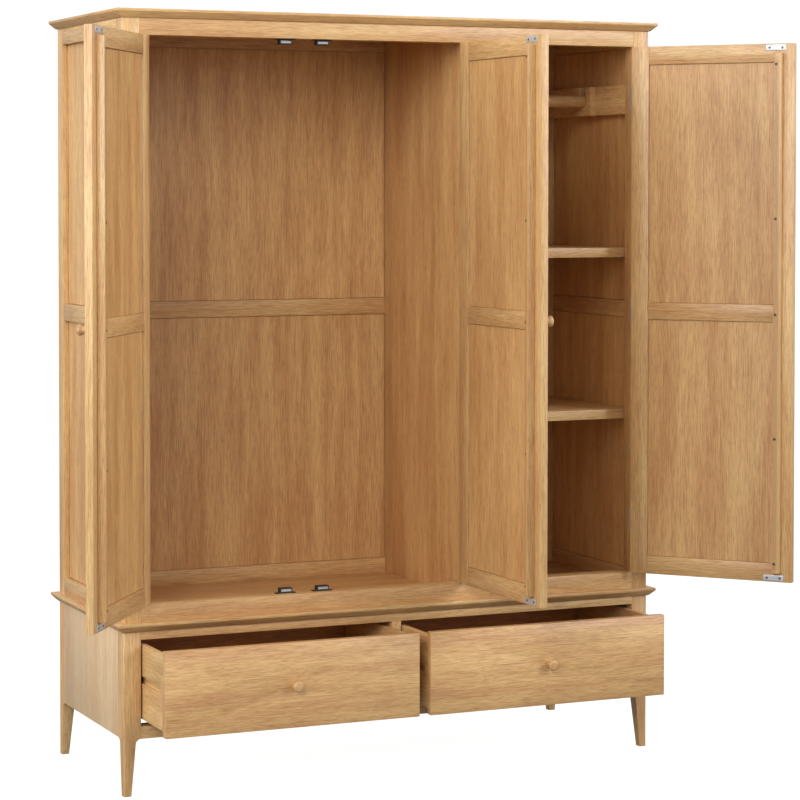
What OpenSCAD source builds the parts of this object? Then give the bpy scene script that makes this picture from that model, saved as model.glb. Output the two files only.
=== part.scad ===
// Three-door oak wardrobe on a two-drawer base, in millimetres.
// The origin is on the floor at the middle of the carcass. +X is right, -Y is the front, +Z is up.
// At rest the doors stand open and the drawers are part of the way out.

/* [Carcass] */
// Width over the corner posts
carcass_w = 1504; // [1240:1:1900]
// Depth over the corner posts
carcass_d = 552; // [440:1:720]
// Height to the top of the cornice
carcass_h = 1980; // [1620:1:2400]
// Width and depth of a corner post
post = 46; // [38:1:56]
// Thickness of the rails that frame the sides
side_rail_t = 24; // [22:1:30]
// Thickness of the rails that frame the back
back_rail_t = 20; // [16:1:26]
// Distance from the rear of the posts to the rear of the back frame
back_inset = 17; // [12:1:24]
// Height of the middle rails of sides, back and doors
mid_rail_h = 45; // [30:1:60]
// Middle of the middle rails, above the bottom edge of the door opening
mid_rail_up = 715.5; // [560:0.5:900]
// Thickness of the framed panels
panel_t = 6; // [4:0.5:8]
// How far a side panel lies behind the outer face
side_panel_inset = 15; // [8:1:16]
// How far a back panel lies behind the inner face of the back frame
back_panel_inset = 4; // [2:1:8]
// How far a panel enters its groove
panel_tongue = 8; // [5:1:10]

/* [Base] */
// Height of the underside of the base above the floor
leg_h = 144; // [90:1:200]
// Width of a leg at the floor
foot_w = 20; // [16:1:28]
// Width of a leg just below the curve that joins it to the base
neck_w = 32; // [29:1:36]
// Height of that curve
flare_h = 13; // [8:1:24]
// Height of the rail under the drawers
low_rail_h = 31; // [20:1:45]
// Height of the drawer opening
drawer_open_h = 220; // [160:1:300]
// Height of the rail over the drawers
high_rail_h = 21; // [16:1:40]
// Thickness of the side and back panels of the base
base_panel_t = 20; // [14:1:24]
// Width of the divider between the drawers
divider_w = 27; // [20:1:40]

/* [Mouldings] */
// Thickness of the cornice and of the plank on top of the base
plank_t = 22; // [18:1:30]
// How far the planks stand out past the posts
overhang = 19; // [10:1:30]
// Height of the square lip at the top of each plank
lip_h = 7; // [3:1:12]
// How far the underside of each plank stands out past the posts
plank_foot = 4; // [0:1:8]

/* [Front] */
// Height of the rail over the doors
top_rail_h = 43; // [30:1:70]
// Height of the rail under the doors
bottom_rail_h = 46; // [30:1:70]
// Thickness of the compartment floor
floor_t = 6; // [4:1:12]
// Width of the fixed stile between the middle and the right door
stile_w = 46; // [38:1:60]
// Thickness of that stile
stile_t = 22; // [21:1:28]
// Thickness of the partition between the compartments
partition_t = 25; // [18:1:32]
// How far the partition stands out to the left of the fixed stile
partition_step = 7; // [0:1:12]

/* [Doors] */
// Thickness of a door
door_t = 20; // [18:1:21]
// Width of the door stiles and height of its top and bottom rails
door_frame_w = 49; // [40:1:60]
// How far a door panel lies behind the inner face of the door
door_panel_inset = 4; // [2:1:6]
// Gap between a door and the post that carries its hinges
hinge_gap = 2.4; // [2.4:0.1:3.5]
// Gap between closed doors, and between a closed door and the fixed stile
free_gap = 3; // [2:0.5:4]
// Gap above and below a closed door
end_gap = 1.5; // [1:0.5:3]
// Angle that the left door stands open
open_left = 126; // [95:0.5:160]
// Angle that the middle door stands open
open_middle = 91; // [70:0.5:110]
// Angle that the right door stands open
open_right = 131.5; // [95:0.5:160]
// Width of the batten along the free edge, on the inner face
batten_w = 18; // [12:1:24]
// Thickness of that batten
batten_t = 20; // [12:1:22]
// How far the batten stops from the top and the bottom of the door
batten_end = 25; // [20:1:40]

/* [Hardware] */
// Height of a hinge leaf
leaf_h = 64; // [40:1:90]
// How far a hinge leaf reaches in from the front
leaf_reach = 16; // [10:1:17]
// Thickness of a hinge leaf
leaf_t = 1; // [0.8:0.1:1]
// Radius of the hinge knuckles
knuckle_r = 3.5; // [3:0.1:4.5]
// Radius of a hinge pin
pin_r = 1.6; // [1.2:0.1:2]
// Distance of the upper and lower hinges from the ends of a door
hinge_end = 140; // [80:1:220]
// Length of a strike plate
strike_l = 55; // [40:1:70]
// Height of a strike plate
strike_h = 15.5; // [12:0.5:20]
// Thickness of a strike plate
strike_t = 1.5; // [1:0.1:1.6]
// Distance of a strike plate from the end of the door
strike_end = 3; // [2:0.5:5]
// Distance from the free edge of a door to the middle of its catches
catch_in = 50; // [45:1:70]
// Length of the base of a catch
catch_l = 54; // [46:1:66]
// Length of the block of a catch
catch_block_l = 34; // [28:1:38]
// Height of the block of a catch
catch_block_h = 12; // [10:1:14]
// Depth of a catch from front to back
catch_d = 18; // [12:1:22]
// Diameter of the head of a knob
knob_d = 28; // [22:1:36]
// Length of a knob
knob_l = 27; // [20:1:34]

/* [Fittings] */
// Height of the top of the upper shelf above the bottom of the door opening
shelf_high = 885; // [770:1:1000]
// Height of the top of the lower shelf above the bottom of the door opening
shelf_low = 442; // [300:1:560]
// Thickness of a shelf
shelf_t = 26; // [18:1:32]
// Distance from the front to the front edge of a shelf
shelf_back = 52; // [50:1:80]
// Diameter of the hanging rail
rod_d = 34; // [25:1:38]
// Distance of the middle of the hanging rail below the top of the door opening
rod_down = 141; // [100:1:200]
// Height of the battens and blocks that carry the hanging rail
block_h = 80; // [60:1:100]
// Length of a block that carries the hanging rail, from front to back
block_l = 100; // [70:1:120]
// Thickness of a block that carries the hanging rail
block_t = 19; // [14:1:24]

/* [Drawers] */
// How far the drawers stand out
drawer_out = 180; // [60:1:300]
// Length of a drawer box behind its front
box_l = 440; // [300:1:460]
// Thickness of a drawer front
front_t = 22; // [18:1:26]
// Thickness of the sides and back of a drawer
box_t = 14; // [12:1:16]
// Height of a drawer side
box_h = 189; // [120:1:195]
// Gap at each side of a drawer front
front_gap = 2; // [1.5:0.5:3]
// Gap under a drawer front
front_gap_low = 3.5; // [2:0.5:5]
// Gap between a drawer side and the opening
side_gap = 4; // [3:0.5:6]
// Height of the runner groove in a drawer side
groove_h = 19; // [14:1:24]
// Depth of the runner groove
groove_d = 8; // [6:1:9]
// Distance of the runner groove below the top of a drawer side
groove_down = 80; // [60:1:100]
// Thickness of a drawer bottom
bottom_t = 6; // [4:1:8]

/* [Hidden] */

$fn = 48;
oak = "#d2ae7c";
oak_light = "#dcc090";
oak_dark = "#b98a58";
steel = "#c4c7c9";
black = "#222324";

// Faces of the carcass
x_left = -carcass_w / 2;
x_right = carcass_w / 2;
y_front = -carcass_d / 2;
y_rear = carcass_d / 2;

// Levels, from the floor up
z_low_rail = leg_h;
z_drawer = z_low_rail + low_rail_h;
z_high_rail = z_drawer + drawer_open_h;
z_base_top = z_high_rail + high_rail_h;
z_upper = z_base_top + plank_t;
z_open = z_upper + bottom_rail_h;
z_cornice = carcass_h - plank_t;
z_open_top = z_cornice - top_rail_h;
z_mid = z_open + mid_rail_up;
z_mid_low = z_mid - mid_rail_h / 2;
z_mid_high = z_mid + mid_rail_h / 2;

// Fits: clearance of a panel in its groove, and of a screw or pin in its hole
groove_fit = 0.2;
// Hairline between two pieces of one frame, or between a board and the strip fixed to it
seam = 0.1;
hole_fit = 0.05;
// Space between moving faces that slide past each other
slide_fit = 0.5;
// How far a cutting body runs past the face that it opens
past = 1;

// Plan of the upper carcass
y_back = y_rear - back_inset - back_rail_t;
y_panel_back = y_back + back_panel_inset;
span = carcass_w - 2 * post;
door_w = (span - stile_w - 3 * hinge_gap - 2 * free_gap) / 3;
door_z = z_open + end_gap;
door_h = z_open_top - z_open - 2 * end_gap;
x_stile = x_left + post + 2 * (hinge_gap + door_w) + free_gap;
x_part = x_stile - partition_step;
x_part_right = x_part + partition_t;

// Hinge edges of the doors: where the post or stile face is, and which way the door runs from it
hinge_left = x_left + post;
hinge_middle = x_stile;
hinge_right = x_right - post;
knuckle_gap = 0.3;
pin_y = y_front - knuckle_r - knuckle_gap;
hinge_levels = [door_z + hinge_end, door_z + door_h / 2, door_z + door_h - hinge_end];
axial_gap = 0.4;

// Middles of the catches along X, behind the free edges of the closed doors
catch_xs = [hinge_left + hinge_gap + door_w - catch_in,
            hinge_middle - hinge_gap - door_w + catch_in,
            hinge_right - hinge_gap - door_w + catch_in];
catch_gap = 0.5;
catch_y = y_front + door_t + strike_t + catch_gap;
catch_base_t = 2;
catch_screw_in = 5;
magnet_l = 28;
magnet_h = 6;
magnet_t = 1.2;

// Screws
screw_r = 1.5;
screw_head_r = 3.2;
screw_head_h = 1.5;
screw_l = 10;
strike_screw_in = 10;
batten_screw_r = 2;
batten_head_r = 3.7;
batten_head_h = 3;
batten_hole_r = 4;
batten_hole_d = 8;
batten_screw_grip = 12;
batten_screw_side = 5.6;
// Heights of the batten screws above the lower end of the batten, as shares of its length
batten_screw_shares = [0.018, 0.259, 0.498, 0.682, 0.978];

// Knobs
knob_neck_r = knob_d * 0.34;
knob_spigot_r = 4;
knob_spigot_l = 12;
knob_edge = 28;

// Hanging rail
z_rod = z_open_top - rod_down;
y_rod = (y_front + y_back) / 2;

// Shelf pins
shelf_pin_r = 2.5;
shelf_pin_out = 12;
shelf_pin_in = 4.5;
shelf_pin_from = 60;
shelf_fit = 0.4;

// Drawers
open_w = (span - divider_w) / 2;
front_z = z_drawer + front_gap_low;
front_gap_high = 2;
front_h = drawer_open_h - front_gap_low - front_gap_high;
box_drop = 11;
box_z = front_z + front_h - box_drop - box_h;
tail_l = 14;
tail_count = 5;
tail_share = 0.44;
tail_slope = 2.2;
groove_start = 27;
runner_z = box_z + box_h - groove_down - groove_h;
runner_h = groove_h - 2 * slide_fit;
runner_out = side_gap + groove_d - slide_fit;
runner_stop = 1;
bottom_up = 10;
bottom_groove = 6;
bottom_low = box_z + bottom_up - groove_fit;
bottom_high = box_z + bottom_up + bottom_t + groove_fit;
back_drop = 10;
centre_board_t = divider_w;

// A box from its lowest corner to its highest
module block(low, high) {
    translate(low) cube(high - low);
}

// The four corner posts or legs, each drawn in the front left corner
module at_corners() {
    for (right = [0, 1], back = [0, 1])
        mirror([right, 0, 0]) mirror([0, back, 0]) translate([x_left, y_front, 0]) children();
}

// Both sides, drawn on the left
module at_sides() {
    for (right = [0, 1]) mirror([right, 0, 0]) children();
}

// ---- Base ----

// Outline of a leg and its post: straight outside, tapered inside, curved into the base
function leg_outline() = concat(
    [[0, 0], [foot_w, 0], [neck_w, leg_h - flare_h]],
    [for (a = [15 : 15 : 90])
        [post - (post - neck_w) * cos(a), leg_h - flare_h + flare_h * sin(a)]],
    [[post, z_base_top], [0, z_base_top]]);

module legs() {
    color(oak) at_corners() intersection() {
        translate([0, post, 0]) rotate([90, 0, 0]) linear_extrude(post) polygon(leg_outline());
        rotate([90, 0, 90]) linear_extrude(post) polygon(leg_outline());
    }
}

module base_side_panels() {
    color(oak_light) at_sides()
        block([x_left, y_front + post, leg_h], [x_left + base_panel_t, y_rear - post, z_base_top]);
}

module base_back_panel() {
    color(oak_dark)
        block([x_left + post, y_rear - back_inset - base_panel_t, leg_h],
              [x_right - post, y_rear - back_inset, z_base_top]);
}

module base_top_rail() {
    color(oak) block([x_left + post, y_front, z_high_rail], [x_right - post, y_front + post, z_base_top]);
}

module base_bottom_rail() {
    color(oak) block([x_left + post, y_front, z_low_rail], [x_right - post, y_front + post, z_drawer]);
}

module drawer_divider() {
    color(oak) block([-divider_w / 2, y_front, z_drawer], [divider_w / 2, y_front + post, z_high_rail]);
}

module centre_board() {
    color(oak_dark)
        block([-centre_board_t / 2, y_front + post, z_drawer],
              [centre_board_t / 2, y_rear - back_inset - base_panel_t, z_high_rail]);
}

// A strip that a drawer side runs on, on the left of an opening: x is the face that it is fixed to
module runner(x) {
    y_end = y_front + front_t + groove_start + groove_h / 2 + runner_stop;
    block([x, y_end, runner_z + slide_fit],
          [x + runner_out - seam, y_rear - post, runner_z + slide_fit + runner_h]);
    translate([x, y_end, runner_z + groove_h / 2]) rotate([0, 90, 0])
        cylinder(d = runner_h, h = runner_out - seam);
}

// The runners, with a board behind the outer ones that fills out the thickness of the legs
module drawer_runners() {
    color(oak_dark) {
        at_sides() {
            block([x_left + base_panel_t, y_front + post, runner_z - runner_h],
                  [x_left + post, y_rear - post, runner_z + 2 * runner_h]);
            runner(x_left + post + seam);
            mirror([1, 0, 0]) runner(centre_board_t / 2 + seam);
        }
    }
}

// Half of the outline of a moulded plank, from its middle line: flat on top, square lip, sloped below
function plank_outline(half) = [
    [-half - plank_foot, 0], [half + plank_foot, 0], [half + overhang, plank_t - lip_h],
    [half + overhang, plank_t], [-half - overhang, plank_t], [-half - overhang, plank_t - lip_h]];

// A moulded plank with mitred corners: the shape that both outlines share
module plank(z) {
    w = carcass_w + 2 * overhang;
    d = carcass_d + 2 * overhang;
    translate([0, 0, z]) intersection() {
        translate([0, d / 2, 0]) rotate([90, 0, 0]) linear_extrude(d) polygon(plank_outline(carcass_w / 2));
        translate([-w / 2, 0, 0]) rotate([90, 0, 90]) linear_extrude(w) polygon(plank_outline(carcass_d / 2));
    }
}

module base_top() {
    color(oak_light) plank(z_base_top);
}

// ---- Upper carcass ----

module cornice() {
    color(oak_light) plank(z_cornice);
}

// The two grooves of a corner post: for a side panel, and in the rear posts for the back panels
module post_grooves() {
    for (right = [0, 1], back = [0, 1]) mirror([right, 0, 0]) {
        mirror([0, back, 0])
            block([x_left + side_panel_inset - groove_fit, y_front + post - panel_tongue - groove_fit,
                   z_upper - past],
                  [x_left + side_panel_inset + panel_t + groove_fit, y_front + post + past,
                   z_cornice + past]);
        if (back == 1)
            block([x_left + post - panel_tongue - groove_fit, y_panel_back - groove_fit, z_upper - past],
                  [x_left + post + past, y_panel_back + panel_t + groove_fit, z_cornice + past]);
    }
}

module upper_posts() {
    color(oak) difference() {
        at_corners() translate([0, 0, z_upper]) cube([post, post, z_cornice - z_upper]);
        post_grooves();
    }
}

module front_top_rail() {
    color(oak) difference() {
        block([x_left + post, y_front, z_open_top], [x_right - post, y_front + post, z_cornice]);
        catch_pilots();
    }
}

module front_bottom_rail() {
    color(oak) difference() {
        block([x_left + post, y_front, z_upper], [x_right - post, y_front + post, z_open]);
        catch_pilots();
    }
}

module centre_stile() {
    color(oak) block([x_stile, y_front, z_open], [x_stile + stile_w, y_front + stile_t, z_open_top]);
}

// The partition reaches forward between the front rails to the back of the fixed stile
module partition() {
    color(oak_light) difference() {
        union() {
            block([x_part, y_front + post, z_upper + floor_t], [x_part_right, y_back, z_cornice]);
            block([x_part, y_front + stile_t, z_open], [x_part_right, y_front + post + past, z_open_top]);
        }
        shelf_pin_set(shelf_pin_r + hole_fit, 0);
    }
}

// Levels of the rails of the sides and of the back: bottom, middle and top
rail_levels = [[z_upper, z_open], [z_mid_low, z_mid_high], [z_open_top, z_cornice]];

// One rail between two grooved uprights, along X, with its tongues; y runs through its thickness
module grooved_rail(length, thick, level, inset) {
    z0 = rail_levels[level][0];
    z1 = rail_levels[level][1];
    difference() {
        union() {
            block([0, 0, z0], [length, thick, z1]);
            block([-panel_tongue, inset, z0], [length + panel_tongue, inset + panel_t, z1]);
        }
        if (level > 0)
            block([-post, inset - groove_fit, z0 - past],
                  [length + post, inset + panel_t + groove_fit, z0 + panel_tongue + groove_fit]);
        if (level < 2)
            block([-post, inset - groove_fit, z1 - panel_tongue - groove_fit],
                  [length + post, inset + panel_t + groove_fit, z1 + past]);
    }
}

// A panel between two rails, with its tongues
module grooved_panel(length, level, inset) {
    block([-panel_tongue, inset, rail_levels[level][1] - panel_tongue],
          [length + panel_tongue, inset + panel_t, rail_levels[level + 1][0] + panel_tongue]);
}

side_len = carcass_d - 2 * post;

module side_rails() {
    color(oak) at_sides() for (level = [0 : 2])
        translate([x_left, y_rear - post, 0]) rotate([0, 0, -90])
            grooved_rail(side_len, side_rail_t, level, side_panel_inset);
}

module side_panels() {
    color(oak_light) difference() {
        at_sides() for (level = [0, 1])
            translate([x_left, y_rear - post, 0]) rotate([0, 0, -90])
                grooved_panel(side_len, level, side_panel_inset);
        shelf_pin_set(shelf_pin_r + hole_fit, 0);
    }
}

// Start and length of the left and the right back panels, either side of the muntin
back_columns = [[x_left + post, x_part - x_left - post], [x_part_right, x_right - post - x_part_right]];

module back_frame() {
    color(oak_dark) {
        for (level = [0, 2])
            translate([x_left + post, y_back, 0])
                grooved_rail(span, back_rail_t, level, back_panel_inset);
        for (column = back_columns)
            translate([column[0] + seam, y_back, 0])
                grooved_rail(column[1] - 2 * seam, back_rail_t, 1, back_panel_inset);
        difference() {
            union() {
                block([x_part, y_back, z_open + seam],
                      [x_part_right, y_back + back_rail_t, z_open_top - seam]);
                block([x_part, y_panel_back, z_open - panel_tongue],
                      [x_part_right, y_panel_back + panel_t, z_open_top + panel_tongue]);
            }
            for (x = [x_part - past, x_part_right - panel_tongue - groove_fit])
                block([x, y_panel_back - groove_fit, z_open - post],
                      [x + panel_tongue + groove_fit + past, y_panel_back + panel_t + groove_fit,
                       z_open_top + post]);
        }
    }
}

module back_panels() {
    color(oak_light) for (column = back_columns, level = [0, 1])
        translate([column[0], y_back, 0])
            grooved_panel(column[1], level, back_panel_inset);
}

module floor_panel() {
    color(oak_light) difference() {
        block([x_left + side_rail_t, y_front + post, z_upper],
              [x_right - side_rail_t, y_back, z_upper + floor_t]);
        at_corners() translate([0, 0, z_upper - past]) cube([post, post, floor_t + 2 * past]);
    }
}

// ---- Fittings of the right compartment ----

shelf_tops = [z_open + shelf_low, z_open + shelf_high];

module shelves() {
    color(oak_light) difference() {
        for (z = shelf_tops)
            block([x_part_right + shelf_fit, y_front + shelf_back, z - shelf_t],
                  [x_right - side_rail_t - shelf_fit, y_back - shelf_fit, z]);
        at_corners() translate([0, 0, z_upper])
            cube([post + shelf_fit, post + shelf_fit, z_cornice - z_upper]);
    }
}

// Pins under both ends of each shelf: into the partition and into the right side panel
module shelf_pin_set(r, out) {
    x_panel = x_right - side_panel_inset - panel_t;
    for (z = shelf_tops, y = [y_front + shelf_back + shelf_pin_from, y_back - shelf_pin_from])
        translate([0, y, z - shelf_t - shelf_pin_r]) rotate([0, 90, 0]) {
            translate([0, 0, x_part_right - shelf_pin_in]) cylinder(r = r, h = shelf_pin_in + past + out);
            translate([0, 0, x_panel - past - out]) cylinder(r = r, h = shelf_pin_in + past + out);
        }
}

module shelf_pins() {
    color(steel) shelf_pin_set(shelf_pin_r, shelf_pin_out);
}

// Socket for the end of the hanging rail: open at the top, so that the rail lifts out
rod_fit = 0.3;
rod_end = 1;

module rod_socket(x, length) {
    translate([x, y_rod, z_rod]) rotate([0, 90, 0]) cylinder(r = rod_d / 2 + rod_fit, h = length);
    block([x, y_rod - rod_d / 2 - rod_fit, z_rod],
          [x + length, y_rod + rod_d / 2 + rod_fit, z_rod + block_h]);
}

module rail_supports() {
    color(oak) {
        difference() {
            block([x_part_right, y_rod - block_l / 2, z_rod - block_h / 2],
                  [x_part_right + block_t, y_rod + block_l / 2, z_rod + block_h / 2]);
            rod_socket(x_part_right - past, block_t + 2 * past);
        }
        block([hinge_right + seam, y_front + post, z_rod - block_h / 2],
              [x_right - side_rail_t, y_rear - post, z_rod + block_h / 2]);
        difference() {
            block([hinge_right - block_t, y_rod - block_l / 2, z_rod - block_h / 2],
                  [hinge_right, y_rod + block_l / 2, z_rod + block_h / 2]);
            rod_socket(hinge_right - block_t - past, block_t + 2 * past);
        }
    }
}

module hanging_rail() {
    color(oak_light) translate([x_part_right + rod_end, y_rod, z_rod]) rotate([0, 90, 0])
        cylinder(d = rod_d, h = hinge_right - x_part_right - 2 * rod_end);
}

// ---- Catches ----

// Each catch is drawn hanging from a rail at height zero, then put under the top rail
// or turned over onto the bottom rail
module at_catches() {
    for (x = catch_xs) {
        translate([x, catch_y, z_open_top]) children();
        translate([x, catch_y, z_open]) mirror([0, 0, 1]) children();
    }
}

catch_screw_x = catch_l / 2 - catch_screw_in;

module countersunk_hole(depth) {
    translate([0, 0, -past]) cylinder(r = screw_head_r + hole_fit, h = past);
    cylinder(r1 = screw_head_r + hole_fit, r2 = screw_r + hole_fit, h = screw_head_h);
    translate([0, 0, screw_head_h]) cylinder(r = screw_r + hole_fit, h = depth - screw_head_h);
}

// A countersunk screw pointing along +Z, its head flush with z = 0, with a cross slot
module screw(length) {
    difference() {
        union() {
            cylinder(r1 = screw_head_r, r2 = screw_r, h = screw_head_h);
            cylinder(r = screw_r, h = length);
        }
        for (turn = [0, 90]) rotate([0, 0, turn])
            translate([-screw_r, -screw_slot_w / 2, -past])
                cube([2 * screw_r, screw_slot_w, past + screw_slot_w]);
    }
}

screw_slot_w = 0.6;

module catch_pilots() {
    at_catches() for (side = [-1, 1])
        translate([side * catch_screw_x, catch_d / 2, -catch_base_t]) countersunk_hole(screw_l + past);
}

module catch_housings() {
    color(black) at_catches() difference() {
        union() {
            block([-catch_l / 2, 0, -catch_base_t], [catch_l / 2, catch_d, 0]);
            block([-catch_block_l / 2, 0, -catch_base_t - catch_block_h],
                  [catch_block_l / 2, catch_d, -catch_base_t]);
        }
        translate([0, 0, -catch_base_t - catch_block_h / 2])
            block([-magnet_l / 2, -past, -magnet_h / 2], [magnet_l / 2, magnet_t, magnet_h / 2]);
        for (side = [-1, 1])
            translate([side * catch_screw_x, catch_d / 2, -catch_base_t]) countersunk_hole(screw_l);
    }
}

module catch_magnets() {
    color(steel) at_catches()
        translate([0, 0, -catch_base_t - catch_block_h / 2])
            block([-magnet_l / 2 + hole_fit, 0, -magnet_h / 2 + hole_fit],
                  [magnet_l / 2 - hole_fit, magnet_t, magnet_h / 2 - hole_fit]);
}

module catch_screws() {
    color(steel) at_catches() for (side = [-1, 1])
        translate([side * catch_screw_x, catch_d / 2, -catch_base_t]) screw(screw_l);
}

// ---- Hinges ----

// A door is drawn with its hinge pin on the Z axis: the door lies along +X and +Y, its post along -X
module at_left_door(angle) {
    translate([hinge_left + hinge_gap / 2, pin_y, 0]) rotate([0, 0, -angle]) children();
}

module at_middle_door(angle) {
    translate([hinge_middle - hinge_gap / 2, pin_y, 0]) rotate([0, 0, angle]) mirror([1, 0, 0]) children();
}

module at_right_door(angle) {
    translate([hinge_right - hinge_gap / 2, pin_y, 0]) rotate([0, 0, angle]) mirror([1, 0, 0]) children();
}

module at_doors_closed() {
    at_left_door(0) children();
    at_middle_door(0) children();
    at_right_door(0) children();
}

// Knuckles split the height of a leaf in three
knuckle_h = (leaf_h - 2 * axial_gap) / 3;
knuckle_zs = [0, knuckle_h + axial_gap, 2 * (knuckle_h + axial_gap)];
pin_fit = 0.05;

// A leaf on the +X side of the pin with the listed knuckles, bored for the pin
module hinge_leaf(knuckles) {
    x_leaf = hinge_gap / 2 - leaf_t;
    difference() {
        union() {
            block([x_leaf, face_y, 0], [x_leaf + leaf_t, face_y + leaf_reach, leaf_h]);
            for (k = knuckles) {
                translate([0, 0, knuckle_zs[k]]) cylinder(r = knuckle_r, h = knuckle_h);
                block([x_leaf, 0, knuckle_zs[k]],
                      [x_leaf + leaf_t, face_y + past, knuckle_zs[k] + knuckle_h]);
            }
        }
        translate([0, 0, -past]) cylinder(r = pin_r + pin_fit, h = leaf_h + 2 * past);
    }
}

module frame_hinge_leaves() {
    color(steel) at_doors_closed() for (z = hinge_levels)
        translate([0, 0, z - leaf_h / 2]) mirror([1, 0, 0]) hinge_leaf([0, 2]);
}

// Pins with a low round head at the top
pin_head_h = 1.5;
pin_head_r = 2.8;

module hinge_pins() {
    color(steel) at_doors_closed() for (z = hinge_levels) translate([0, 0, z - leaf_h / 2]) {
        cylinder(r = pin_r, h = leaf_h + past);
        translate([0, 0, leaf_h + hole_fit]) cylinder(r = pin_head_r, h = pin_head_h);
    }
}

module door_hinge_leaves() {
    color(steel) for (z = hinge_levels) translate([0, 0, z - leaf_h / 2]) hinge_leaf([1]);
}

// ---- Doors, drawn in the door's own frame ----

edge_x = hinge_gap / 2;
free_x = edge_x + door_w;
face_y = y_front - pin_y;
inner_y = face_y + door_t;
door_top = door_z + door_h;
door_panel_y = inner_y - door_panel_inset - panel_t;
// Edges of the two panel openings, bottom and top of each
door_lights = [[door_z + door_frame_w, z_mid_low], [z_mid_high, door_top - door_frame_w]];
door_rails = [[door_z, door_z + door_frame_w], [z_mid_low, z_mid_high],
              [door_top - door_frame_w, door_top]];
batten_x = free_x - door_frame_w;
batten_z = door_z + batten_end;
batten_h = door_h - 2 * batten_end;
strike_x = free_x - catch_in - strike_l / 2;
strike_zs = [door_z + strike_end, door_top - strike_end - strike_h];

module door_groove(z0, z1) {
    block([edge_x + door_frame_w - panel_tongue - groove_fit, door_panel_y - groove_fit, z0],
          [free_x - door_frame_w + panel_tongue + groove_fit, door_panel_y + panel_t + groove_fit, z1]);
}

module door_frame() {
    x0 = edge_x + door_frame_w;
    x1 = free_x - door_frame_w;
    color(oak) {
        difference() {
            union() {
                block([edge_x, face_y, door_z], [x0, inner_y, door_top]);
                block([x1, face_y, door_z], [free_x, inner_y, door_top]);
            }
            door_groove(door_z - past, door_top + past);
            batten_screw_holes();
            strike_holes();
            knob_at() knob_hole();
        }
        for (rail = door_rails)
            difference() {
                union() {
                    block([x0 + seam, face_y, rail[0]], [x1 - seam, inner_y, rail[1]]);
                    block([x0 - panel_tongue, door_panel_y, rail[0]],
                          [x1 + panel_tongue, door_panel_y + panel_t, rail[1]]);
                }
                for (light = door_lights)
                    door_groove(light[0] - panel_tongue - groove_fit, light[1] + panel_tongue + groove_fit);
                strike_holes();
                batten_screw_holes();
            }
    }
}

module door_panels() {
    color(oak_light) difference() {
        for (light = door_lights)
            block([edge_x + door_frame_w - panel_tongue, door_panel_y, light[0] - panel_tongue],
                  [free_x - door_frame_w + panel_tongue, door_panel_y + panel_t, light[1] + panel_tongue]);
        batten_screw_holes();
    }
}

// Puts its children at each batten screw, pointing from the face of the batten into the door
module batten_screw_set() {
    for (share = batten_screw_shares)
        translate([batten_x + batten_screw_side, inner_y + batten_t, batten_z + share * batten_h])
            rotate([90, 0, 0]) children();
}

// The screws pass through the batten, the inner cheek of the stile and the tongue in its groove
module batten_screw_holes() {
    batten_screw_set() cylinder(r = batten_screw_r + hole_fit, h = batten_t + batten_screw_grip);
}

module door_batten() {
    color(oak) difference() {
        block([batten_x, inner_y, batten_z], [batten_x + batten_w, inner_y + batten_t, batten_z + batten_h]);
        batten_screw_set() {
            translate([0, 0, -past]) cylinder(r = batten_hole_r, h = batten_hole_d + past);
            cylinder(r = batten_screw_r + hole_fit, h = batten_t + past);
        }
    }
}

// Puts its children at each screw of the strike plates, pointing into the door
module strike_screw_set() {
    for (z = strike_zs, side = [0, 1])
        translate([strike_x + strike_screw_in + side * (strike_l - 2 * strike_screw_in), inner_y + strike_t,
                   z + strike_h / 2])
            rotate([90, 0, 0]) children();
}

module strike_holes() {
    strike_screw_set() countersunk_hole(screw_l + past);
}

module door_strikes() {
    color(steel) difference() {
        for (z = strike_zs)
            block([strike_x, inner_y, z], [strike_x + strike_l, inner_y + strike_t, z + strike_h]);
        strike_holes();
    }
}

module door_screws() {
    color(steel) {
        strike_screw_set() screw(screw_l);
        batten_screw_set() translate([0, 0, batten_hole_d - batten_head_h]) {
            cylinder(r = batten_head_r, h = batten_head_h);
            cylinder(r = batten_screw_r, h = batten_t - batten_hole_d + batten_head_h + batten_screw_grip - past);
        }
    }
}

// Outline of a turned knob from its spigot to the low dome of its head: heights are shares of its length
knob_waist_low = 0.3;
knob_waist_high = 0.7;
knob_rim = [[0.5, 0.8], [0.43, 0.93], [0.28, 0.98], [0, 1]];

function knob_outline() = concat(
    [[0, past - knob_spigot_l], [knob_spigot_r, past - knob_spigot_l], [knob_spigot_r, 0], [knob_neck_r, 0]],
    [for (a = [0 : 15 : 90])
        [knob_neck_r + (knob_d / 2 - knob_neck_r) * (1 - cos(a)),
         knob_l * (knob_waist_low + (knob_waist_high - knob_waist_low) * sin(a))]],
    [for (p = knob_rim) [knob_d * p[0], knob_l * p[1]]]);

module knob() {
    color(oak_light) rotate_extrude() polygon(knob_outline());
}

module knob_hole() {
    translate([0, 0, -knob_spigot_l]) cylinder(r = knob_spigot_r + hole_fit, h = knob_spigot_l + past);
}

// On the outer face of a door, pointing outwards
module knob_at() {
    translate([free_x - knob_edge, face_y, z_mid]) rotate([90, 0, 0]) children();
}

module left_door_frame() { at_left_door(open_left) door_frame(); }
module left_door_panels() { at_left_door(open_left) door_panels(); }
module left_door_batten() { at_left_door(open_left) door_batten(); }
module left_door_strikes() { at_left_door(open_left) door_strikes(); }
module left_door_knob() { at_left_door(open_left) knob_at() knob(); }
module left_door_hinge_leaves() { at_left_door(open_left) door_hinge_leaves(); }
module left_door_screws() { at_left_door(open_left) door_screws(); }

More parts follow.
